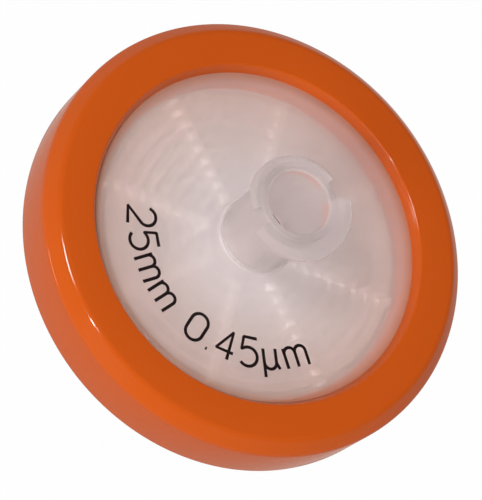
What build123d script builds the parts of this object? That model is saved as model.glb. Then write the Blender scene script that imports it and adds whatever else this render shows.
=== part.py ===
from build123d import *

from math import pi
import os

# Syringe filter, 25 mm class: a membrane disc clamped between two polypropylene
# housings, which an overmoulded ring binds round the edge.
#
# Frame: millimetres, +Z along the flow axis from the outlet tip up to the inlet
# mouth. The origin is the centre of the outlet tip's end face.

# ---- Membrane ----
MEMBRANE_DIAMETER = 25.0
MEMBRANE_THICKNESS = 0.2

# ---- Flanges, measured outwards and inwards from the membrane's edge ----
CLAMP_WIDTH = 1.8            # membrane edge held between the two lands
MEMBRANE_CLEARANCE = 0.1     # radial room round the membrane in its pocket
RIM_WIDTH = 0.9              # outside the pocket, where the two flanges meet
FLANGE_STEP = 0.5            # rebate that the ring's lips lie in
LIP_OVERLAP = 2.1            # how far the lips reach in over the flanges

# ---- Inlet disc: ring ribs that radial channels cut into sectors ----
INLET_WALL = 1.5
INLET_RIB_HEIGHT = 0.7
INLET_RIB_GAP = 0.05         # between the ribs and the membrane
RIB_PITCH = 0.905
RIB_WIDTH = 0.42
RIB_SIDE_COUNT = 32          # short flats that draw each ring, whole in a sector
CHANNEL_COUNT = 8
CHANNEL_WIDTH = 0.45
CHANNEL_ANGLE = 33.0         # of the first channel, from +X, in degrees
BOSS_RADIUS = 2.75           # plain middle of the disc, round the port
BOSS_HEIGHT = 0.5
BOSS_GAP = 0.36              # from the boss to the first rib

# ---- Outlet disc: radial ribs that carry the membrane ----
OUTLET_WALL = 1.0
SUPPORT_RIB_HEIGHT = 0.5
SUPPORT_RIB_WIDTH = 0.42
SUPPORT_RIB_START = 2.0      # radius where the longest ribs begin
FIRST_RIB_COUNT = 10         # their number, which doubles as the gaps widen
SUPPORT_GAP = 1.5            # widest gap between two ribs

# ---- Overmoulded ring ----
RING_WALL = 1.5              # outside the flanges, at the ring's widest
TOP_LIP_RISE = 0.65          # above the inlet disc's face
BOTTOM_LIP_DROP = 0.2        # below the outlet disc's face
RING_CHAMFER_WIDTH = 0.85
RING_CHAMFER_HEIGHT = 0.95
RING_DRAFT = 0.15            # taken off the radius down the side wall
INNER_SLOPE_WIDTH = 0.37     # the recess opens by this much at the top
RING_EDGE_RADIUS = 0.25
RING_FOOT_CHAMFER = 0.2

# ---- Female conical socket with locking lugs (inlet) ----
INLET_TUBE_HEIGHT = 6.6      # above the inlet disc's face
LUER_TAPER = 0.06            # on the diameter
SOCKET_MOUTH_DIAMETER = 4.3
SOCKET_DEPTH = 7.8
SOCKET_CHAMFER = 0.15
INLET_TUBE_WALL = 0.56
INLET_PORT_DIAMETER = 2.4
TUBE_ROOT_CHAMFER = 0.25
WIDE_LUG_DIAMETER = 7.7
NARROW_LUG_DIAMETER = 6.55
LUG_SWEEP = 156.0            # degrees round the axis, for each lug
LUG_GAP_ANGLE = 75.0         # middle of the first gap, from +X, in degrees
LUG_SETBACK = 0.05           # from the mouth's face to the lug's top
LUG_TOP_SLOPE = 0.2          # fall of the lug's top face to its crest
LUG_CREST_HEIGHT = 0.4
LUG_UNDERSIDE_SLOPE = 0.6    # height for each unit of radius

# ---- Male conical tip (outlet) ----
OUTLET_LENGTH = 9.6          # from the outlet disc's face to the tip's end
TIP_DIAMETER = 3.95          # at the end
TIP_CONE_LENGTH = 8.0
TIP_BORE_DIAMETER = 2.0
TIP_EDGE = 0.15
HUB_DIAMETER = 6.2           # shoulder between the cone and the disc
HUB_CHAMFER = 0.3

# ---- Radii that follow ----
MEMBRANE_RADIUS = MEMBRANE_DIAMETER / 2
CHAMBER_RADIUS = MEMBRANE_RADIUS - CLAMP_WIDTH
POCKET_RADIUS = MEMBRANE_RADIUS + MEMBRANE_CLEARANCE
FLANGE_RADIUS = POCKET_RADIUS + RIM_WIDTH
WINDOW_RADIUS = FLANGE_RADIUS - LIP_OVERLAP
RING_RADIUS = FLANGE_RADIUS + RING_WALL
FIRST_RIB_RADIUS = BOSS_RADIUS + BOSS_GAP + RIB_WIDTH / 2
SOCKET_MOUTH_RADIUS = SOCKET_MOUTH_DIAMETER / 2
TUBE_MOUTH_RADIUS = SOCKET_MOUTH_RADIUS + INLET_TUBE_WALL

# ---- Levels that follow, from the tip's end upwards ----
OUTLET_FACE = OUTLET_LENGTH
OUTLET_FLOOR = OUTLET_FACE + OUTLET_WALL
MEMBRANE_BOTTOM = OUTLET_FLOOR + SUPPORT_RIB_HEIGHT
PARTING = MEMBRANE_BOTTOM + MEMBRANE_THICKNESS
INLET_RIB_END = PARTING + INLET_RIB_GAP
INLET_CEILING = INLET_RIB_END + INLET_RIB_HEIGHT
INLET_FACE = INLET_CEILING + INLET_WALL
MOUTH = INLET_FACE + INLET_TUBE_HEIGHT
SOCKET_FLOOR = MOUTH - SOCKET_DEPTH
OUTLET_FLANGE_FACE = OUTLET_FACE + FLANGE_STEP
INLET_FLANGE_FACE = INLET_FACE - FLANGE_STEP
RING_TOP = INLET_FACE + TOP_LIP_RISE
RING_BOTTOM = OUTLET_FACE - BOTTOM_LIP_DROP


def revolved(points, sweep=360.0, start=0.0):
    """Turn a closed outline of (radius, height) points about the Z axis."""
    face = make_face(Polyline(*[(r, 0, z) for r, z in points], close=True))
    return revolve(face.rotate(Axis.Z, start), axis=Axis.Z, revolution_arc=sweep)


def circle_edge(shape, radius, z):
    """The circular edges of one radius whose centre lies at one height on the axis."""
    return [
        edge
        for edge in shape.edges().filter_by(GeomType.CIRCLE)
        if abs(edge.radius - radius) < 1e-3 and abs(edge.arc_center.Z - z) < 1e-4
    ]


def radial_bars(count, turn, inner, outer, width):
    """Equally spaced bars in plan, from one radius out to another."""
    bar = Pos((inner + outer) / 2, 0) * Rectangle(outer - inner, width)
    return Sketch() + [Rot(0, 0, turn + index * 360 / count) * bar for index in range(count)]


def inlet_ribs():
    """Ring ribs over the chamber, cut into sectors by the radial channels."""
    pattern = Sketch()
    radius = FIRST_RIB_RADIUS
    while radius + RIB_WIDTH < CHAMBER_RADIUS:
        outer = RegularPolygon(radius + RIB_WIDTH / 2, RIB_SIDE_COUNT, rotation=CHANNEL_ANGLE)
        inner = RegularPolygon(radius - RIB_WIDTH / 2, RIB_SIDE_COUNT, rotation=CHANNEL_ANGLE)
        pattern += outer - inner
        radius += RIB_PITCH
    pattern -= radial_bars(CHANNEL_COUNT, CHANNEL_ANGLE, 0, CHAMBER_RADIUS, CHANNEL_WIDTH)
    return extrude(Pos(0, 0, INLET_RIB_END) * pattern, INLET_RIB_HEIGHT)


def support_ribs():
    """Radial ribs; a new set starts in the middle of each gap that grows too wide."""
    count = FIRST_RIB_COUNT
    pattern = radial_bars(count, 0, SUPPORT_RIB_START, CHAMBER_RADIUS, SUPPORT_RIB_WIDTH)
    start = count * (SUPPORT_GAP + SUPPORT_RIB_WIDTH) / (2 * pi)
    while start < CHAMBER_RADIUS:
        pattern += radial_bars(count, 180 / count, start, CHAMBER_RADIUS, SUPPORT_RIB_WIDTH)
        count *= 2
        start *= 2
    return extrude(Pos(0, 0, OUTLET_FLOOR) * pattern, SUPPORT_RIB_HEIGHT)


def cone_radius(base_radius, distance):
    """Radius on a conical fitting, some way along from its small end."""
    return base_radius + LUER_TAPER / 2 * distance


def lug(crest_diameter, start):
    """One locking lug: a sloped top, a narrow crest and a sloped underside."""
    crest = crest_diameter / 2
    root = TUBE_MOUTH_RADIUS - INLET_TUBE_WALL / 2
    top = MOUTH - LUG_SETBACK
    shoulder = (TUBE_MOUTH_RADIUS + crest) / 2
    crest_top = top - LUG_TOP_SLOPE
    crest_bottom = crest_top - LUG_CREST_HEIGHT
    foot = crest_bottom - (crest - root) * LUG_UNDERSIDE_SLOPE
    outline = [
        (root, top),
        (shoulder, top),
        (crest, crest_top),
        (crest, crest_bottom),
        (root, foot),
    ]
    return revolved(outline, LUG_SWEEP, start)


def inlet_housing():
    """Upper disc with its ribs and channels, and the female socket."""
    disc = revolved([
        (0, INLET_CEILING - BOSS_HEIGHT),
        (BOSS_RADIUS, INLET_CEILING - BOSS_HEIGHT),
        (BOSS_RADIUS, INLET_CEILING),
        (CHAMBER_RADIUS, INLET_CEILING),
        (CHAMBER_RADIUS, PARTING),
        (FLANGE_RADIUS, PARTING),
        (FLANGE_RADIUS, INLET_FLANGE_FACE),
        (WINDOW_RADIUS, INLET_FLANGE_FACE),
        (WINDOW_RADIUS, INLET_FACE),
        (0, INLET_FACE),
    ])
    disc += inlet_ribs()

    tube_foot_radius = TUBE_MOUTH_RADIUS - LUER_TAPER / 2 * INLET_TUBE_HEIGHT
    tube = revolved([
        (0, INLET_CEILING),
        (tube_foot_radius, INLET_CEILING),
        (tube_foot_radius, INLET_FACE),
        (TUBE_MOUTH_RADIUS, MOUTH),
        (0, MOUTH),
    ])
    body = disc + tube
    body = chamfer(circle_edge(body, tube_foot_radius, INLET_FACE), TUBE_ROOT_CHAMFER)
    for diameter, turn in ((NARROW_LUG_DIAMETER, 0), (WIDE_LUG_DIAMETER, 180)):
        body += lug(diameter, LUG_GAP_ANGLE + turn + (180 - LUG_SWEEP) / 2)

    socket_floor_radius = SOCKET_MOUTH_RADIUS - LUER_TAPER / 2 * SOCKET_DEPTH
    body -= revolved([
        (0, SOCKET_FLOOR),
        (socket_floor_radius, SOCKET_FLOOR),
        (SOCKET_MOUTH_RADIUS, MOUTH),
        (0, MOUTH),
    ])
    body -= Pos(0, 0, PARTING) * extrude(Circle(INLET_PORT_DIAMETER / 2), INLET_TUBE_HEIGHT)
    return chamfer(circle_edge(body, SOCKET_MOUTH_RADIUS, MOUTH), SOCKET_CHAMFER)


def outlet_housing():
    """Lower disc with the membrane pocket, support ribs and the male tip."""
    disc = revolved([
        (0, OUTLET_FACE),
        (WINDOW_RADIUS, OUTLET_FACE),
        (WINDOW_RADIUS, OUTLET_FLANGE_FACE),
        (FLANGE_RADIUS, OUTLET_FLANGE_FACE),
        (FLANGE_RADIUS, PARTING),
        (POCKET_RADIUS, PARTING),
        (POCKET_RADIUS, MEMBRANE_BOTTOM),
        (CHAMBER_RADIUS, MEMBRANE_BOTTOM),
        (CHAMBER_RADIUS, OUTLET_FLOOR),
        (0, OUTLET_FLOOR),
    ])
    disc += support_ribs()

    tip_radius = TIP_DIAMETER / 2
    hub_radius = HUB_DIAMETER / 2
    tip = revolved([
        (0, 0),
        (tip_radius - TIP_EDGE, 0),
        (tip_radius, TIP_EDGE),
        (cone_radius(tip_radius, TIP_CONE_LENGTH), TIP_CONE_LENGTH),
        (hub_radius - HUB_CHAMFER, TIP_CONE_LENGTH),
        (hub_radius, TIP_CONE_LENGTH + HUB_CHAMFER),
        (hub_radius, OUTLET_FLOOR),
        (0, OUTLET_FLOOR),
    ])
    body = disc + tip
    return body - extrude(Circle(TIP_BORE_DIAMETER / 2), OUTLET_FLOOR + SUPPORT_RIB_HEIGHT)


def membrane():
    """Filter disc, flat on the support ribs."""
    return Pos(0, 0, MEMBRANE_BOTTOM) * extrude(Circle(MEMBRANE_RADIUS), MEMBRANE_THICKNESS)


def outer_ring():
    """Overmoulded ring, a C section that wraps both flanges."""
    foot_radius = RING_RADIUS - RING_DRAFT
    opening_radius = WINDOW_RADIUS + INNER_SLOPE_WIDTH
    shoulder = RING_TOP - RING_CHAMFER_HEIGHT
    outline = [
        (WINDOW_RADIUS, RING_BOTTOM),
        (foot_radius - RING_FOOT_CHAMFER, RING_BOTTOM),
        (foot_radius, RING_BOTTOM + RING_FOOT_CHAMFER),
        (RING_RADIUS, shoulder),
        (RING_RADIUS - RING_CHAMFER_WIDTH, RING_TOP),
        (opening_radius, RING_TOP),
        (WINDOW_RADIUS, INLET_FACE),
        (WINDOW_RADIUS, INLET_FLANGE_FACE),
        (FLANGE_RADIUS, INLET_FLANGE_FACE),
        (FLANGE_RADIUS, OUTLET_FLANGE_FACE),
        (WINDOW_RADIUS, OUTLET_FLANGE_FACE),
    ]
    section = make_face(Polyline(*[(r, 0, z) for r, z in outline], close=True))
    upper = section.vertices().filter_by_position(Axis.Z, shoulder, RING_TOP)
    rounded = upper.filter_by_position(Axis.X, FLANGE_RADIUS, RING_RADIUS)
    return revolve(fillet(rounded, RING_EDGE_RADIUS), axis=Axis.Z)


NODES = {
    "outlet_housing": outlet_housing,
    "membrane": membrane,
    "inlet_housing": inlet_housing,
    "outer_ring": outer_ring,
}

os.makedirs("parts", exist_ok=True)
for name, build in NODES.items():
    export_step(build(), f"parts/{name}.step")
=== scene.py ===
from math import cos, pi, radians, sin, tan

import bpy
from mathutils import Matrix, Vector


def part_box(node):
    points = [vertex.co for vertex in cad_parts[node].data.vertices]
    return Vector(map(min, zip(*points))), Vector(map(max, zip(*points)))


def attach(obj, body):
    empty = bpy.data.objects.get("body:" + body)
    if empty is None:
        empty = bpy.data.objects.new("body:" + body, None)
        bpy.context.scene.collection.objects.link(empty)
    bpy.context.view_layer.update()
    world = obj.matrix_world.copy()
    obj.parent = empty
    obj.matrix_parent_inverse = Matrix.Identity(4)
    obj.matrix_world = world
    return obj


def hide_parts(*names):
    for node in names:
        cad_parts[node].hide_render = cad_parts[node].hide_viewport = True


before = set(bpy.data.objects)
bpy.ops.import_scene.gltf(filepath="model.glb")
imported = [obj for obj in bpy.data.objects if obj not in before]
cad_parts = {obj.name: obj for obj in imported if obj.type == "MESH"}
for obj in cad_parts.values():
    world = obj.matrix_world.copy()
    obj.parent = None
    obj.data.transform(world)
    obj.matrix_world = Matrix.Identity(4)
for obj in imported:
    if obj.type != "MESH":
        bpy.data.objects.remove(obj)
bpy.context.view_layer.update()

# A syringe filter that stands on its outlet tip. Metres, +Z from the tip up to the inlet mouth.
MM = 0.001

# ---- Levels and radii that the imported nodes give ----
MEMBRANE_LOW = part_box("membrane")[0]
INLET_LOW, INLET_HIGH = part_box("inlet_housing")
RING_LOW, RING_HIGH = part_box("outer_ring")
MOUTH = INLET_HIGH.z
PARTING = INLET_LOW.z
FLANGE_RADIUS = INLET_HIGH.x
SUPPORT_TOP = MEMBRANE_LOW.z
RING_TOP = RING_HIGH.z
RING_BOTTOM = RING_LOW.z
RING_RADIUS = RING_HIGH.x

# ---- Housings ----
TUBE_HEIGHT = 6.6 * MM
INLET_WALL = 1.5 * MM
RIB_GAP = 0.05 * MM              # between the inlet ribs and the membrane
LIP_RISE = 0.2 * MM              # of the outlet disc's face over the ring's underside
SUPPORT_HEIGHT = 0.5 * MM
INLET_FACE = MOUTH - TUBE_HEIGHT
INLET_CEILING = INLET_FACE - INLET_WALL
RIB_END = PARTING + RIB_GAP
OUTLET_FACE = RING_BOTTOM + LIP_RISE
OUTLET_FLOOR = SUPPORT_TOP - SUPPORT_HEIGHT
FLANGE_STEP = 0.5 * MM
WINDOW_RADIUS = 11.4 * MM
CHAMBER_RADIUS = 10.7 * MM
POCKET_RADIUS = 12.6 * MM
MOULD_EDGE = 0.08 * MM           # radius that a mould leaves on an outer edge
FOOT_EDGE = 0.3 * MM             # at the foot of the tube and on the hub
LUG_EDGE = 0.06 * MM
TIP_EDGE = 0.15 * MM
CONTACT = 0.02 * MM              # faces that are fused or clamped run this far into each other

# ---- Inlet ribs and channels ----
BOSS_RADIUS = 2.75 * MM
BOSS_FACE = INLET_CEILING - 0.5 * MM
FIRST_RIB_RADIUS = 3.32 * MM
RIB_PITCH = 0.905 * MM
RIB_WIDTH = 0.42 * MM
RIB_EDGE = 0.15 * MM
CHANNEL_COUNT = 8
CHANNEL_WIDTH = 0.45 * MM
CHANNEL_ANGLE = radians(33)

# ---- Outlet ribs ----
SUPPORT_RIB_START = 2.0 * MM
SUPPORT_RIB_WIDTH = 0.42 * MM
SUPPORT_GAP = 1.5 * MM
FIRST_SUPPORT_RIBS = 10
SUPPORT_SEAT = 0.1 * MM          # how far the ribs run into the floor and the wall

# ---- Inlet socket ----
LUER_SLOPE = 0.03                # growth of a radius along a 6 percent taper
SOCKET_MOUTH_RADIUS = 2.15 * MM
SOCKET_DEPTH = 7.8 * MM
SOCKET_WALL = 0.56 * MM
SOCKET_CHAMFER = 0.15 * MM
INLET_PORT_RADIUS = 1.2 * MM
WIDE_LUG_RADIUS = 3.85 * MM
NARROW_LUG_RADIUS = 3.275 * MM
LUG_TOP_GAP = 0.05 * MM
LUG_TOP_DROP = 0.2 * MM
LUG_CREST_HEIGHT = 0.4 * MM
LUG_UNDERSIDE_SLOPE = 0.6
LUG_SWEEP = radians(156)
LUG_GAP_ANGLE = radians(75)

# ---- Outlet tip ----
TIP_RADIUS = 1.975 * MM
TIP_CONE_LENGTH = 8.0 * MM
TIP_BORE_RADIUS = 1.0 * MM
HUB_RADIUS = 3.1 * MM

# ---- Ring ----
RING_CHAMFER_WIDTH = 0.85 * MM
RING_CHAMFER_HEIGHT = 0.95 * MM
RING_DRAFT = 0.15 * MM
RING_TOP_EDGE = 0.6 * MM
RING_SHOULDER_EDGE = 0.45 * MM
RING_FOOT_EDGE = 0.2 * MM
RING_LIP_EDGE = 0.18 * MM
INNER_SLOPE_WIDTH = 0.37 * MM

# ---- Printed size marking ----
MARKING = "25mm 0.45µm"
CAP_HEIGHT = 1.98 * MM
BASELINE_RADIUS = 9.15 * MM
PEN_WIDTH = 0.225 * MM
INK_THICKNESS = 0.012 * MM
LETTER_GAP = 0.42 * MM
MARKING_START = radians(223)

ROUND = 256                      # segments of the turned forms
ARC_STEPS = 5
NO_DOUBLES = 1e-7
SMOOTH_ANGLE = radians(30)       # two faces that meet at less than this are shaded as one


# ======== Modelling ========

def deselected():
    bpy.ops.object.select_all(action="DESELECT")


def softened(outline):
    """An outline with each corner that carries an edge radius turned into an arc."""
    points = []
    for index, (radius, height, *edge) in enumerate(outline):
        corner = Vector((radius, height))
        if not edge:
            points.append(corner)
            continue
        back = (Vector(outline[index - 1][:2]) - corner).normalized()
        ahead = (Vector(outline[(index + 1) % len(outline)][:2]) - corner).normalized()
        half = back.angle(ahead) / 2
        centre = corner + (back + ahead).normalized() * edge[0] / sin(half)
        first = (corner + back * edge[0] / tan(half) - centre).normalized()
        last = (corner + ahead * edge[0] / tan(half) - centre).normalized()
        for step in range(ARC_STEPS + 1):
            points.append(centre + first.slerp(last, step / ARC_STEPS) * edge[0])
    return points


def turned(name, outline):
    """Turn a closed outline of (radius, height) corners about the Z axis."""
    points = softened(outline)
    radius, height = points[0]
    deselected()
    bpy.ops.mesh.primitive_circle_add(vertices=ROUND, radius=radius, location=(0, 0, 0))
    made = bpy.context.object
    made.name = made.data.name = name
    bpy.ops.object.mode_set(mode="EDIT")
    bpy.ops.mesh.select_all(action="SELECT")
    bpy.ops.transform.translate(value=(0, 0, height))
    for next_radius, next_height in points[1:] + points[:1]:
        rise = {"value": (0, 0, next_height - height)}
        bpy.ops.mesh.extrude_edges_move(TRANSFORM_OT_translate=rise)
        growth = next_radius / radius
        bpy.ops.transform.resize(value=(growth, growth, 1), center_override=(0, 0, next_height))
        radius, height = next_radius, next_height
    bpy.ops.mesh.select_all(action="SELECT")
    bpy.ops.mesh.remove_doubles(threshold=NO_DOUBLES)
    bpy.ops.mesh.normals_make_consistent(inside=False)
    bpy.ops.object.mode_set(mode="OBJECT")
    return made


def combined(piece, tool, operation):
    """Cut a tool out of a piece, or unite the two, and drop the tool."""
    modifier = piece.modifiers.new(operation.lower(), "BOOLEAN")
    modifier.operation = operation
    modifier.solver = "EXACT"
    modifier.object = tool
    deselected()
    bpy.context.view_layer.objects.active = piece
    piece.select_set(True)
    bpy.ops.object.modifier_apply(modifier=modifier.name)
    bpy.data.objects.remove(tool)
    return piece


def bars(count, turn, inner, outer, width, low, high):
    """Equally spaced radial bars, joined into one object."""
    deselected()
    made = []
    for index in range(count):
        angle = turn + index * 2 * pi / count
        middle = (inner + outer) / 2
        place = (middle * cos(angle), middle * sin(angle), (low + high) / 2)
        size = (outer - inner, width, high - low)
        bpy.ops.mesh.primitive_cube_add(size=1, location=place, rotation=(0, 0, angle), scale=size)
        made.append(bpy.context.object)
    for bar in made:
        bar.select_set(True)
    bpy.ops.object.join()
    bpy.ops.object.transform_apply()
    return bpy.context.object


def smoothed(piece):
    """Shade a piece smooth but for its sharp edges."""
    deselected()
    bpy.context.view_layer.objects.active = piece
    piece.select_set(True)
    bpy.ops.object.shade_smooth_by_angle(angle=SMOOTH_ANGLE)
    return piece


def kept_wedge(piece, start, sweep):
    """Cut a turned form down to the wedge between two angles under half a turn apart."""
    deselected()
    bpy.context.view_layer.objects.active = piece
    piece.select_set(True)
    bpy.ops.object.mode_set(mode="EDIT")
    for angle, side in ((start, 1), (start + sweep, -1)):
        bpy.ops.mesh.select_all(action="SELECT")
        normal = (-sin(angle) * side, cos(angle) * side, 0)
        bpy.ops.mesh.bisect(
            plane_co=(0, 0, 0), plane_no=normal,
            use_fill=True, clear_inner=True, threshold=NO_DOUBLES,
        )
    bpy.ops.mesh.select_all(action="SELECT")
    bpy.ops.mesh.normals_make_consistent(inside=False)
    bpy.ops.object.mode_set(mode="OBJECT")
    return piece


def lug(crest, start):
    """One locking lug: a sloped top, a narrow crest and a sloped underside."""
    root = SOCKET_MOUTH_RADIUS + SOCKET_WALL / 2
    top = MOUTH - LUG_TOP_GAP
    shoulder = (SOCKET_MOUTH_RADIUS + SOCKET_WALL + crest) / 2
    crest_top = top - LUG_TOP_DROP
    crest_bottom = crest_top - LUG_CREST_HEIGHT
    ring = turned("lug", [
        (root, top),
        (shoulder, top, LUG_EDGE),
        (crest, crest_top, LUG_EDGE),
        (crest, crest_bottom, LUG_EDGE),
        (root, crest_bottom - (crest - root) * LUG_UNDERSIDE_SLOPE),
    ])
    return kept_wedge(ring, start, LUG_SWEEP)


def inlet_body():
    """Upper housing: ribbed disc, flange and female socket in one moulding."""
    outline = [
        (INLET_PORT_RADIUS, BOSS_FACE),
        (BOSS_RADIUS, BOSS_FACE),
        (BOSS_RADIUS, INLET_CEILING),
    ]
    radius = FIRST_RIB_RADIUS
    while radius + RIB_WIDTH < CHAMBER_RADIUS:
        outline += [
            (radius - RIB_WIDTH / 2, INLET_CEILING),
            (radius - RIB_WIDTH / 2, RIB_END, RIB_EDGE),
            (radius + RIB_WIDTH / 2, RIB_END, RIB_EDGE),
            (radius + RIB_WIDTH / 2, INLET_CEILING),
        ]
        radius += RIB_PITCH
    tube_radius = SOCKET_MOUTH_RADIUS + SOCKET_WALL
    foot_radius = tube_radius - LUER_SLOPE * (MOUTH - INLET_FACE)
    socket_floor = MOUTH - SOCKET_DEPTH
    # The last rib has no room of its own and merges with the chamber wall.
    outline += [
        (radius - RIB_WIDTH / 2, INLET_CEILING),
        (radius - RIB_WIDTH / 2, RIB_END, RIB_EDGE),
        (CHAMBER_RADIUS, RIB_END),
        (CHAMBER_RADIUS, PARTING - CONTACT),
        (FLANGE_RADIUS + CONTACT, PARTING - CONTACT),
        (FLANGE_RADIUS + CONTACT, INLET_FACE - FLANGE_STEP + CONTACT),
        (WINDOW_RADIUS + CONTACT, INLET_FACE - FLANGE_STEP + CONTACT),
        (WINDOW_RADIUS + CONTACT, INLET_FACE),
        (foot_radius, INLET_FACE, FOOT_EDGE),
        (tube_radius, MOUTH, MOULD_EDGE),
        (SOCKET_MOUTH_RADIUS + SOCKET_CHAMFER, MOUTH),
        (SOCKET_MOUTH_RADIUS - LUER_SLOPE * SOCKET_CHAMFER, MOUTH - SOCKET_CHAMFER),
        (SOCKET_MOUTH_RADIUS - LUER_SLOPE * SOCKET_DEPTH, socket_floor),
        (INLET_PORT_RADIUS, socket_floor),
    ]
    body = turned("inlet_body", outline)
    channels = bars(
        CHANNEL_COUNT, CHANNEL_ANGLE, BOSS_RADIUS, (CHAMBER_RADIUS + radius) / 2,
        CHANNEL_WIDTH, PARTING, INLET_CEILING,
    )
    combined(body, channels, "DIFFERENCE")
    for crest, turn in ((NARROW_LUG_RADIUS, 0), (WIDE_LUG_RADIUS, pi)):
        combined(body, lug(crest, LUG_GAP_ANGLE + turn + (pi - LUG_SWEEP) / 2), "UNION")
    return smoothed(body)


def outlet_body():
    """Lower housing: membrane pocket, support ribs and male tip in one moulding."""
    cone_end = TIP_RADIUS + LUER_SLOPE * TIP_CONE_LENGTH
    body = turned("outlet_body", [
        (TIP_BORE_RADIUS, 0),
        (TIP_RADIUS, 0, TIP_EDGE),
        (cone_end, TIP_CONE_LENGTH),
        (HUB_RADIUS, TIP_CONE_LENGTH, FOOT_EDGE),
        (HUB_RADIUS, OUTLET_FACE),
        (WINDOW_RADIUS + CONTACT, OUTLET_FACE),
        (WINDOW_RADIUS + CONTACT, OUTLET_FACE + FLANGE_STEP - CONTACT),
        (FLANGE_RADIUS + CONTACT, OUTLET_FACE + FLANGE_STEP - CONTACT),
        (FLANGE_RADIUS + CONTACT, PARTING),
        (POCKET_RADIUS, PARTING),
        (POCKET_RADIUS, SUPPORT_TOP + CONTACT),
        (CHAMBER_RADIUS, SUPPORT_TOP + CONTACT),
        (CHAMBER_RADIUS, OUTLET_FLOOR),
        (TIP_BORE_RADIUS, OUTLET_FLOOR),
    ])
    # Where the gap between two ribs has grown to SUPPORT_GAP, another rib starts midway.
    count, start, turn = FIRST_SUPPORT_RIBS, SUPPORT_RIB_START, 0
    reach = FIRST_SUPPORT_RIBS * (SUPPORT_GAP + SUPPORT_RIB_WIDTH) / (2 * pi)
    while start < CHAMBER_RADIUS:
        ribs = bars(
            count, turn, start, CHAMBER_RADIUS + SUPPORT_SEAT,
            SUPPORT_RIB_WIDTH, OUTLET_FLOOR - SUPPORT_SEAT, SUPPORT_TOP + CONTACT,
        )
        combined(body, ribs, "UNION")
        if start > SUPPORT_RIB_START:
            count *= 2
        turn, start, reach = pi / count, reach, reach * 2
    return smoothed(body)


def moulded_ring():
    """Overmoulded ring, a C section that wraps both flanges."""
    foot = RING_RADIUS - RING_DRAFT
    return smoothed(turned("moulded_ring", [
        (WINDOW_RADIUS, RING_BOTTOM, MOULD_EDGE),
        (foot, RING_BOTTOM, RING_FOOT_EDGE),
        (RING_RADIUS, RING_TOP - RING_CHAMFER_HEIGHT, RING_SHOULDER_EDGE),
        (RING_RADIUS - RING_CHAMFER_WIDTH, RING_TOP, RING_TOP_EDGE),
        (WINDOW_RADIUS + INNER_SLOPE_WIDTH, RING_TOP, RING_LIP_EDGE),
        (WINDOW_RADIUS, INLET_FACE),
        (WINDOW_RADIUS, INLET_FACE - FLANGE_STEP),
        (FLANGE_RADIUS, INLET_FACE - FLANGE_STEP),
        (FLANGE_RADIUS, OUTLET_FACE + FLANGE_STEP),
        (WINDOW_RADIUS, OUTLET_FACE + FLANGE_STEP),
    ]))


# ---- Pen strokes of the marking, on a cap height of 1. An arc is (x, y, radius, from, to). ----
DIGIT_WIDTH = 0.62
BOWL = DIGIT_WIDTH / 2
LOW_HEIGHT = 0.7
ARCH = 0.2
CORNER_CUT = 0.02
SHARP_CORNER = radians(25)
PEN_ARC_STEP = 12                # degrees
GLYPHS = {
    "0": (DIGIT_WIDTH, [
        [(BOWL, 1 - BOWL, BOWL, 0, 180), (BOWL, BOWL, BOWL, 180, 360), (DIGIT_WIDTH, 1 - BOWL)],
    ]),
    "2": (DIGIT_WIDTH, [[(BOWL, 1 - BOWL, BOWL, 165, -38), (0, 0), (DIGIT_WIDTH, 0)]]),
    "4": (DIGIT_WIDTH, [[(0.46, 0), (0.46, 1), (0, 0.28), (DIGIT_WIDTH, 0.28)]]),
    "5": (DIGIT_WIDTH, [[(0.56, 1), (0.09, 1), (0.04, 0.56), (0.29, 0.33, 0.33, 120, -140)]]),
    "m": (4 * ARCH, [
        [(0, 0), (0, LOW_HEIGHT)],
        [(ARCH, LOW_HEIGHT - ARCH, ARCH, 180, 0), (2 * ARCH, 0)],
        [(3 * ARCH, LOW_HEIGHT - ARCH, ARCH, 180, 0), (4 * ARCH, 0)],
    ]),
    "µ": (0.55, [
        [(0, LOW_HEIGHT), (0, -0.28)],
        [(0.22, 0.22, 0.22, 180, 360), (0.44, LOW_HEIGHT)],
        [(0.44, 0.22), (0.55, 0)],
    ]),
    ".": (0.1, [[(0.02, 0.03), (0.08, 0.03)]]),
    " ": (0.35, []),
}


def pen_path(stroke):
    """Corners of one stroke: its arcs drawn as short steps, its sharp corners cut by a hair."""
    path = []
    for part in stroke:
        if len(part) == 2:
            path.append(Vector(part))
            continue
        x, y, radius, start, end = part
        steps = max(4, round(abs(end - start) / PEN_ARC_STEP))
        for step in range(steps + 1):
            angle = radians(start + (end - start) * step / steps)
            path.append(Vector((x + radius * cos(angle), y + radius * sin(angle))))
    cut = path[:1]
    for before, corner, after in zip(path, path[1:], path[2:]):
        if (corner - before).angle(after - corner) > SHARP_CORNER:
            cut.append(corner + (before - corner).normalized() * CORNER_CUT)
            cut.append(corner + (after - corner).normalized() * CORNER_CUT)
        else:
            cut.append(corner)
    return cut + path[-1:]


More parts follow.
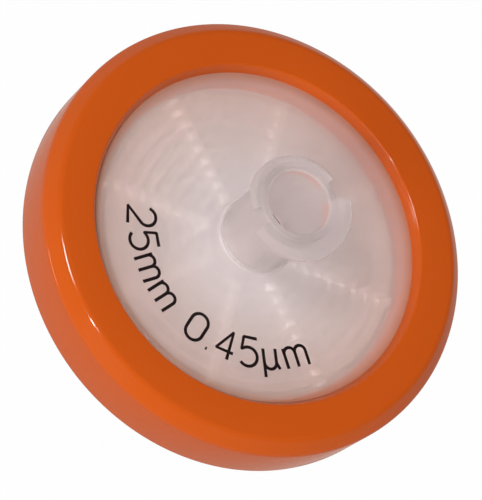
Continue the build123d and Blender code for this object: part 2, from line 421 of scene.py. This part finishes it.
def glyph(letter, angle):
    """One printed character, its foot towards the rim, centred at an angle on the window."""
    width, strokes = GLYPHS[letter]
    curve = bpy.data.curves.new("glyph", "CURVE")
    curve.dimensions = "3D"
    curve.bevel_depth = PEN_WIDTH / 2
    curve.bevel_resolution = 3
    curve.use_fill_caps = True
    for stroke in strokes:
        path = pen_path(stroke)
        spline = curve.splines.new("POLY")
        spline.points.add(len(path) - 1)
        for point, (x, y) in zip(spline.points, path):
            point.co = ((x - width / 2) * CAP_HEIGHT, y * CAP_HEIGHT, 0, 1)
    made = bpy.data.objects.new("glyph", curve)
    bpy.context.collection.objects.link(made)
    deselected()
    bpy.context.view_layer.objects.active = made
    made.select_set(True)
    bpy.ops.object.convert(target="MESH")
    flat = Matrix.Diagonal((1, 1, INK_THICKNESS / PEN_WIDTH * 2, 1))
    foot = (BASELINE_RADIUS * cos(angle), BASELINE_RADIUS * sin(angle), INLET_FACE)
    turn = Matrix.Rotation(angle + pi / 2, 4, "Z")
    made.data.transform(Matrix.Translation(foot) @ turn @ flat)
    return made


def size_marking():
    """Ink marking that runs round the window, read from inside the rim."""
    reading_radius = BASELINE_RADIUS - CAP_HEIGHT / 2
    angle = MARKING_START
    made = []
    for letter in MARKING:
        half = GLYPHS[letter][0] * CAP_HEIGHT / 2
        angle += half / reading_radius
        if letter != " ":
            made.append(glyph(letter, angle))
        angle += (half + LETTER_GAP) / reading_radius
    deselected()
    for piece in made:
        piece.select_set(True)
    bpy.context.view_layer.objects.active = made[0]
    bpy.ops.object.join()
    marking = bpy.context.object
    marking.name = marking.data.name = "size_marking"
    bpy.ops.object.mode_set(mode="EDIT")
    bpy.ops.mesh.select_all(action="SELECT")
    bpy.ops.mesh.remove_doubles(threshold=NO_DOUBLES)
    bpy.ops.mesh.normals_make_consistent(inside=False)
    bpy.ops.object.mode_set(mode="OBJECT")
    return smoothed(marking)


# ======== Materials ========

def srgb(code):
    """An sRGB hex colour as linear RGBA."""
    parts = [int(code[i:i + 2], 16) / 255 for i in (1, 3, 5)]
    return [p / 12.92 if p <= 0.04045 else ((p + 0.055) / 1.055) ** 2.4 for p in parts] + [1.0]


def material(name, sockets):
    """A new material with its shader's sockets set."""
    made = bpy.data.materials.new(name)
    made.use_nodes = True
    shader = made.node_tree.nodes["Principled BSDF"]
    for socket, value in sockets.items():
        shader.inputs[socket].default_value = value
    return made, made.node_tree, shader


def node(tree, kind, sockets=(), links=(), **settings):
    """Add one node with its settings, socket values and incoming links."""
    made = tree.nodes.new(kind)
    for key, value in settings.items():
        setattr(made, key, value)
    for key, value in dict(sockets).items():
        made.inputs[key].default_value = value
    for key, source in dict(links).items():
        tree.links.new(source, made.inputs[key])
    return made


def calculated(tree, operation, first, second=None):
    """The outcome of one sum, product or comparison of numbers and sockets."""
    given = {0: first, 1: second}
    links = {key: value for key, value in given.items() if isinstance(value, bpy.types.NodeSocket)}
    numbers = {key: value for key, value in given.items() if isinstance(value, (int, float))}
    return node(tree, "ShaderNodeMath", numbers, links, operation=operation).outputs[0]


def ranged(tree, value, start, end, low=0.0, high=1.0, **settings):
    """A value that runs from low to high while another runs from start to end."""
    ends = {"From Min": start, "From Max": end, "To Min": low, "To Max": high}
    return node(tree, "ShaderNodeMapRange", ends, {"Value": value}, **settings).outputs["Result"]


def clouds(tree, place, size, detail):
    """Soft random clouds of one size, in metres."""
    sockets = {"Scale": 1 / size, "Detail": detail}
    return node(tree, "ShaderNodeTexNoise", sockets, {"Vector": place}).outputs["Fac"]


def bumped(tree, shader, height, strength, depth):
    """Shade a surface as if it rose and fell with a height."""
    sockets = {"Strength": strength, "Distance": depth}
    bump = node(tree, "ShaderNodeBump", sockets, {"Height": height})
    tree.links.new(bump.outputs["Normal"], shader.inputs["Normal"])


def coloured(tree, shader, share, first, second):
    """Base colour that goes from one colour to another with a share."""
    sockets = {"A": srgb(first), "B": srgb(second)}
    blend = node(tree, "ShaderNodeMix", sockets, {"Factor": share}, data_type="RGBA")
    tree.links.new(blend.outputs["Result"], shader.inputs["Base Color"])


def chosen(tree, share, first, second):
    """One shader where the share is 0 and another where it is 1."""
    links = {0: share, 1: first, 2: second}
    return node(tree, "ShaderNodeMixShader", (), links).outputs["Shader"]


def object_place(tree):
    """Where a shaded point is, in metres from the origin."""
    return node(tree, "ShaderNodeTexCoord").outputs["Object"]


def flattened(tree, vector):
    """A vector without its part along the flow axis."""
    links = {0: vector}
    flat = node(tree, "ShaderNodeVectorMath", {1: (1, 1, 0)}, links, operation="MULTIPLY")
    return flat.outputs["Vector"]


def length_of(tree, vector):
    """A vector's length. For a flattened place that is its distance from the flow axis."""
    return node(tree, "ShaderNodeVectorMath", (), {0: vector}, operation="LENGTH").outputs["Value"]


# ---- Clear plastic, tuned ----
CLEAR_INDEX = 1.38               # the real one is about 1.49; a lower one keeps the ribs faint
DISC_CLARITY, FITTING_CLARITY = 0.6, 0.88
DISC_ROUGHNESS = 0.265           # kept under 0.27 and even, or the denoiser draws contour lines
FITTING_ROUGHNESS = 0.35
FITTING_START, FITTING_FULL = 0.1 * MM, 0.8 * MM   # beyond the disc's two faces
MOTTLE_SIZE, MOTTLE_SHARE = 2.5 * MM, 0.03
RIB_END_GLOW, RIB_SIDE_GLOW, FITTING_GLOW = 0.3, 0.02, 0.03
RIB_END_FACING, RIB_SIDE_FACING = 0.3, 0.9        # how squarely a face looks along its radius
PLAIN_REACH = 0.3                # share of the flange's radius inside which no orange light is painted


def painted_ring_light(tree, shader, radius):
    """Painted orange light from the ring: the base colour turns orange over the flange and, weaker,
    over the disc.
    """
    reach = calculated(tree, "DIVIDE", radius, FLANGE_RADIUS)
    orange_light = node(tree, "ShaderNodeValToRGB", (), {0: reach})
    stops = orange_light.color_ramp.elements
    stops[0].position, stops[0].color = PLAIN_REACH, srgb("#EDE6E6")
    stops[1].position, stops[1].color = WINDOW_RADIUS / FLANGE_RADIUS, srgb("#E0AE92")
    stops.new(CHAMBER_RADIUS / FLANGE_RADIUS).color = srgb("#E9D5CD")
    tree.links.new(orange_light.outputs["Color"], shader.inputs["Base Color"])


def rib_glow(tree, height, flat, upright, level):
    """Glow of the ribs' upright faces: plain at their ends, faint at their sides."""
    outward = node(tree, "ShaderNodeVectorMath", (), {0: flat}, operation="NORMALIZE")
    links = {0: level, 1: outward.outputs["Vector"]}
    along = node(tree, "ShaderNodeVectorMath", (), links, operation="DOT_PRODUCT")
    side = calculated(tree, "ABSOLUTE", along.outputs["Value"])
    glow = ranged(tree, side, RIB_END_FACING, RIB_SIDE_FACING, RIB_END_GLOW, RIB_SIDE_GLOW)
    under = calculated(tree, "LESS_THAN", height, INLET_CEILING)
    over = calculated(tree, "GREATER_THAN", height, RIB_END)
    wall = calculated(tree, "MULTIPLY", calculated(tree, "MULTIPLY", under, over), upright)
    return calculated(tree, "MULTIPLY", wall, glow)


def natural_polypropylene():
    """Natural polypropylene, uncoloured and satin.

    It gives the eye a milky haze over the ribs and the membrane, a little uneven, as in a
    real moulding. The fittings are clearer but rougher. The ribs and the fittings give off a
    little light of their own, which stands in for light that the plastic carries sideways.
    """
    made, tree, shader = material("natural_polypropylene", {
        "IOR": CLEAR_INDEX,
        "Emission Color": srgb("#FFF4F0"),
    })
    place = object_place(tree)
    height = node(tree, "ShaderNodeSeparateXYZ", (), {0: place}).outputs["Z"]
    above = calculated(tree, "SUBTRACT", height, (INLET_FACE + OUTLET_FACE) / 2)
    away = calculated(tree, "ABSOLUTE", above)
    disc = (INLET_FACE - OUTLET_FACE) / 2
    fitting = (disc + FITTING_START, disc + FITTING_FULL)
    clarity = ranged(tree, away, *fitting, DISC_CLARITY, FITTING_CLARITY)
    cloud = clouds(tree, place, MOTTLE_SIZE, 3)
    mottle = ranged(tree, cloud, 0.0, 1.0, -MOTTLE_SHARE, MOTTLE_SHARE)
    uneven = calculated(tree, "ADD", clarity, mottle)
    haze = ranged(tree, away, *fitting, DISC_ROUGHNESS, FITTING_ROUGHNESS)
    tree.links.new(uneven, shader.inputs["Transmission Weight"])
    tree.links.new(haze, shader.inputs["Roughness"])

    flat = flattened(tree, place)
    # Painted orange light from the ring, in the base colour towards the rim.
    painted_ring_light(tree, shader, length_of(tree, flat))

    face = node(tree, "ShaderNodeNewGeometry")
    level = flattened(tree, face.outputs["True Normal"])
    upright = length_of(tree, level)
    scattered = ranged(tree, away, *fitting, 0.0, FITTING_GLOW)
    sides = calculated(tree, "MULTIPLY", scattered, upright)
    total = calculated(tree, "ADD", rib_glow(tree, height, flat, upright, level), sides)
    tree.links.new(total, shader.inputs["Emission Strength"])

    # Lamps shine straight through with a grey loss, so the plastic throws only a soft shadow.
    path = node(tree, "ShaderNodeLightPath")
    passing = node(tree, "ShaderNodeBsdfTransparent", {"Color": srgb("#BAB6B6")})
    both = chosen(tree, path.outputs["Is Shadow Ray"], shader.outputs["BSDF"], passing.outputs["BSDF"])
    tree.links.new(both, tree.nodes["Material Output"].inputs["Surface"])
    return made


RING_WAVE_SIZE, RING_WAVE_HEIGHT, RING_WAVE_STRENGTH = 4 * MM, 0.1 * MM, 0.03


def orange_polypropylene():
    """Orange overmoulded polypropylene from a polished mould.

    It gives the eye a deep colour with sharp highlights along the ring's edges, which waver
    a little, as they do over the slow waves of a real moulding.
    """
    made, tree, shader = material("orange_polypropylene", {
        "Base Color": srgb("#C25214"),
        "IOR": 1.49,
        "Roughness": 0.09,
    })
    waves = clouds(tree, object_place(tree), RING_WAVE_SIZE, 2)
    bumped(tree, shader, waves, RING_WAVE_STRENGTH, RING_WAVE_HEIGHT)
    return made


# Width over which the painted orange light from the ring fades in at the film's rim.
RING_LIGHT_FADE = 0.2 * MM
FIBRE_SIZE, FIBRE_HEIGHT, FIBRE_STRENGTH = 0.5 * MM, 0.02 * MM, 0.15


def membrane_film():
    """Expanded fluoropolymer film, white and matt.

    It gives the eye the even white field under the ribs. Its rim lies pressed between the
    housings, where the ring's orange light is painted into its colour. Real fibres are far
    too fine to show, so they are drawn about half a millimetre apart.
    """
    made, tree, shader = material("expanded_fluoropolymer_film", {"Roughness": 0.8})
    place = object_place(tree)
    radius = length_of(tree, flattened(tree, place))
    # Painted orange light from the ring on the film's clamped rim.
    edge = (CHAMBER_RADIUS, CHAMBER_RADIUS + RING_LIGHT_FADE)
    ring_light_share = ranged(tree, radius, *edge, interpolation_type="SMOOTHSTEP")
    coloured(tree, shader, ring_light_share, "#FBF6F5", "#EC7436")
    fibres = clouds(tree, place, FIBRE_SIZE, 4)
    bumped(tree, shader, fibres, FIBRE_STRENGTH, FIBRE_HEIGHT)
    return made


INK_PATCH_SIZE = 0.3 * MM
INK_PATCH_RANGE = (0.4, 0.8)     # of the clouds' value, from full ink to thin ink


def printing_ink():
    """Pad-printed ink, brown black and matt.

    It gives the eye dark strokes that are a little paler in patches, as a pad leaves them.
    """
    made, tree, shader = material("pad_printed_ink", {"Roughness": 0.5, "Specular IOR Level": 0.3})
    patches = clouds(tree, object_place(tree), INK_PATCH_SIZE, 2)
    thin = ranged(tree, patches, *INK_PATCH_RANGE)
    coloured(tree, shader, thin, "#170A0C", "#221214")
    return made


# ======== Stage, lights and camera ========

VIEW_ELEVATION = radians(58.1)
VIEW_DISTANCE = 300 * MM
VIEW_LENS = 342.8
SENSOR_WIDTH = 36
TURN_IN_VIEW = radians(52.25)    # of the part's +X below the view's horizontal
AIM_LEFT, AIM_DOWN = 1.0 * MM, 0.94 * MM
LAMP_DISTANCE = 0.3


def camera_on_row():
    """Long-lens camera above the -Y side, rolled so that +X runs down to the right."""
    back = Vector((0, -cos(VIEW_ELEVATION), sin(VIEW_ELEVATION)))
    level_up = Vector((0, sin(VIEW_ELEVATION), cos(VIEW_ELEVATION)))
    right = Vector((1, 0, 0)) * cos(TURN_IN_VIEW) + level_up * sin(TURN_IN_VIEW)
    up = -Vector((1, 0, 0)) * sin(TURN_IN_VIEW) + level_up * cos(TURN_IN_VIEW)
    aim = Vector((0, 0, INLET_FACE)) - right * AIM_LEFT - up * AIM_DOWN
    data = bpy.data.cameras.new("camera")
    data.lens = VIEW_LENS
    data.sensor_width = SENSOR_WIDTH
    data.sensor_fit = "HORIZONTAL"
    data.clip_start, data.clip_end = 0.01, 10
    made = bpy.data.objects.new("camera", data)
    bpy.context.collection.objects.link(made)
    turn = Matrix((right, up, back)).transposed().to_4x4()
    made.matrix_world = Matrix.Translation(aim + back * VIEW_DISTANCE) @ turn
    bpy.context.scene.camera = made


def lamp(name, direction, size, power, colour="#FFFFFF"):
    """An area lamp that faces the filter from one direction."""
    data = bpy.data.lights.new(name, "AREA")
    data.shape = "RECTANGLE"
    data.size, data.size_y = size
    data.energy = power
    data.color = srgb(colour)[:3]
    made = bpy.data.objects.new(name, data)
    bpy.context.collection.objects.link(made)
    towards = Vector(direction).normalized()
    made.location = Vector((0, 0, INLET_FACE)) + towards * LAMP_DISTANCE
    made.rotation_mode = "QUATERNION"
    made.rotation_quaternion = towards.to_track_quat("Z", "Y")
    return made


CARD_SIZE = 3
CARD_WHITENESS = 0.985           # share of plain white that the camera sees, the rest is shade
ROOM_STRENGTH = 0.47
BAND_HEIGHTS = (0.05, 0.6)       # where the warm band in the gloss starts and ends fading
BAND_STRENGTHS = (0.45, 0.04)
THROUGH_SHARE = 0.5              # of plain white that the view through the plastic gets


def white_card():
    """Matt white card, greyer as light than it looks, and a warm tone in the gloss.

    It gives the eye a plain white ground that keeps a trace of the filter's shadow.
    """
    made, tree, shader = material("white_card", {"Base Color": srgb("#BFBFBF"), "Roughness": 0.9})
    path = node(tree, "ShaderNodeLightPath")
    seen = calculated(tree, "MULTIPLY", path.outputs["Is Camera Ray"], CARD_WHITENESS)
    white = node(tree, "ShaderNodeEmission", {"Color": (1, 1, 1, 1), "Strength": 1.0})
    warm = node(tree, "ShaderNodeEmission", {"Color": srgb("#CFB0A4"), "Strength": 1.0})
    lit = chosen(
        tree, path.outputs["Is Glossy Ray"], shader.outputs["BSDF"], warm.outputs["Emission"],
    )
    shown = chosen(tree, seen, lit, white.outputs["Emission"])
    tree.links.new(shown, tree.nodes["Material Output"].inputs["Surface"])
    return made


def studio_world():
    """Room light. The camera sees plain white instead, and half as much through the plastic."""
    world = bpy.data.worlds.new("studio")
    bpy.context.scene.world = world
    world.use_nodes = True
    tree = world.node_tree
    path = node(tree, "ShaderNodeLightPath")
    room = tree.nodes["Background"]
    room.inputs["Color"].default_value = srgb("#FFF6FA")
    room.inputs["Strength"].default_value = ROOM_STRENGTH

    # Gloss sees a warm band near the horizon that fades upwards.
    place = node(tree, "ShaderNodeTexCoord")
    height = node(tree, "ShaderNodeSeparateXYZ", (), {0: place.outputs["Generated"]})
    fade = ranged(tree, height.outputs["Z"], *BAND_HEIGHTS, *BAND_STRENGTHS)
    band = node(tree, "ShaderNodeBackground", {"Color": srgb("#FFEBC4")}, {"Strength": fade})
    lit = chosen(
        tree, path.outputs["Is Glossy Ray"], room.outputs["Background"], band.outputs["Background"],
    )

    through = path.outputs["Is Transmission Ray"]
    half = calculated(tree, "MULTIPLY", through, THROUGH_SHARE - 1)
    beyond = calculated(tree, "ADD", half, 1.0)
    white = node(tree, "ShaderNodeBackground", {"Color": (1, 1, 1, 1)}, {"Strength": beyond})
    plain = calculated(tree, "MAXIMUM", path.outputs["Is Camera Ray"], through)
    shown = chosen(tree, plain, lit, white.outputs["Background"])
    tree.links.new(shown, tree.nodes["World Output"].inputs["Surface"])


def stage():
    """White card under the filter, and the room round it."""
    deselected()
    bpy.ops.mesh.primitive_plane_add(size=CARD_SIZE, location=(0, 0, 0))
    floor = bpy.context.object
    floor.name = floor.data.name = "floor"
    floor.data.materials.append(white_card())
    studio_world()


def dress(piece, finish, slot, *replaced):
    """Give a piece its material and its body. The slot argument is not used."""
    piece.data.materials.clear()
    piece.data.materials.append(finish)
    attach(piece, "root")
    if replaced:
        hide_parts(*replaced)


bpy.context.scene.view_settings.view_transform = "Standard"
clear_plastic = natural_polypropylene()
dress(inlet_body(), clear_plastic, "inlet_housing", "inlet_housing")
dress(outlet_body(), clear_plastic, "outlet_housing", "outlet_housing")
dress(moulded_ring(), orange_polypropylene(), "outer_ring", "outer_ring")
dress(size_marking(), printing_ink(), "inlet_housing")
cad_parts["membrane"].material_slots[0].material = membrane_film()

stage()
lamp("key", (-0.442, -0.398, 0.8), (0.06, 0.05), 0.28)
lamp("spark", (-0.163, -0.629, 0.759), (0.014, 0.09), 0.12)
lamp("low", (-0.614, -0.789, 0.05), (0.07, 0.035), 0.04)
lamp("soft", (0.0, -0.9, 0.43), (0.14, 0.14), 0.37, "#FDFFF4").visible_glossy = False
lamp("fill", (0.75, -0.35, 0.5), (0.14, 0.14), 0.12).visible_glossy = False
camera_on_row()
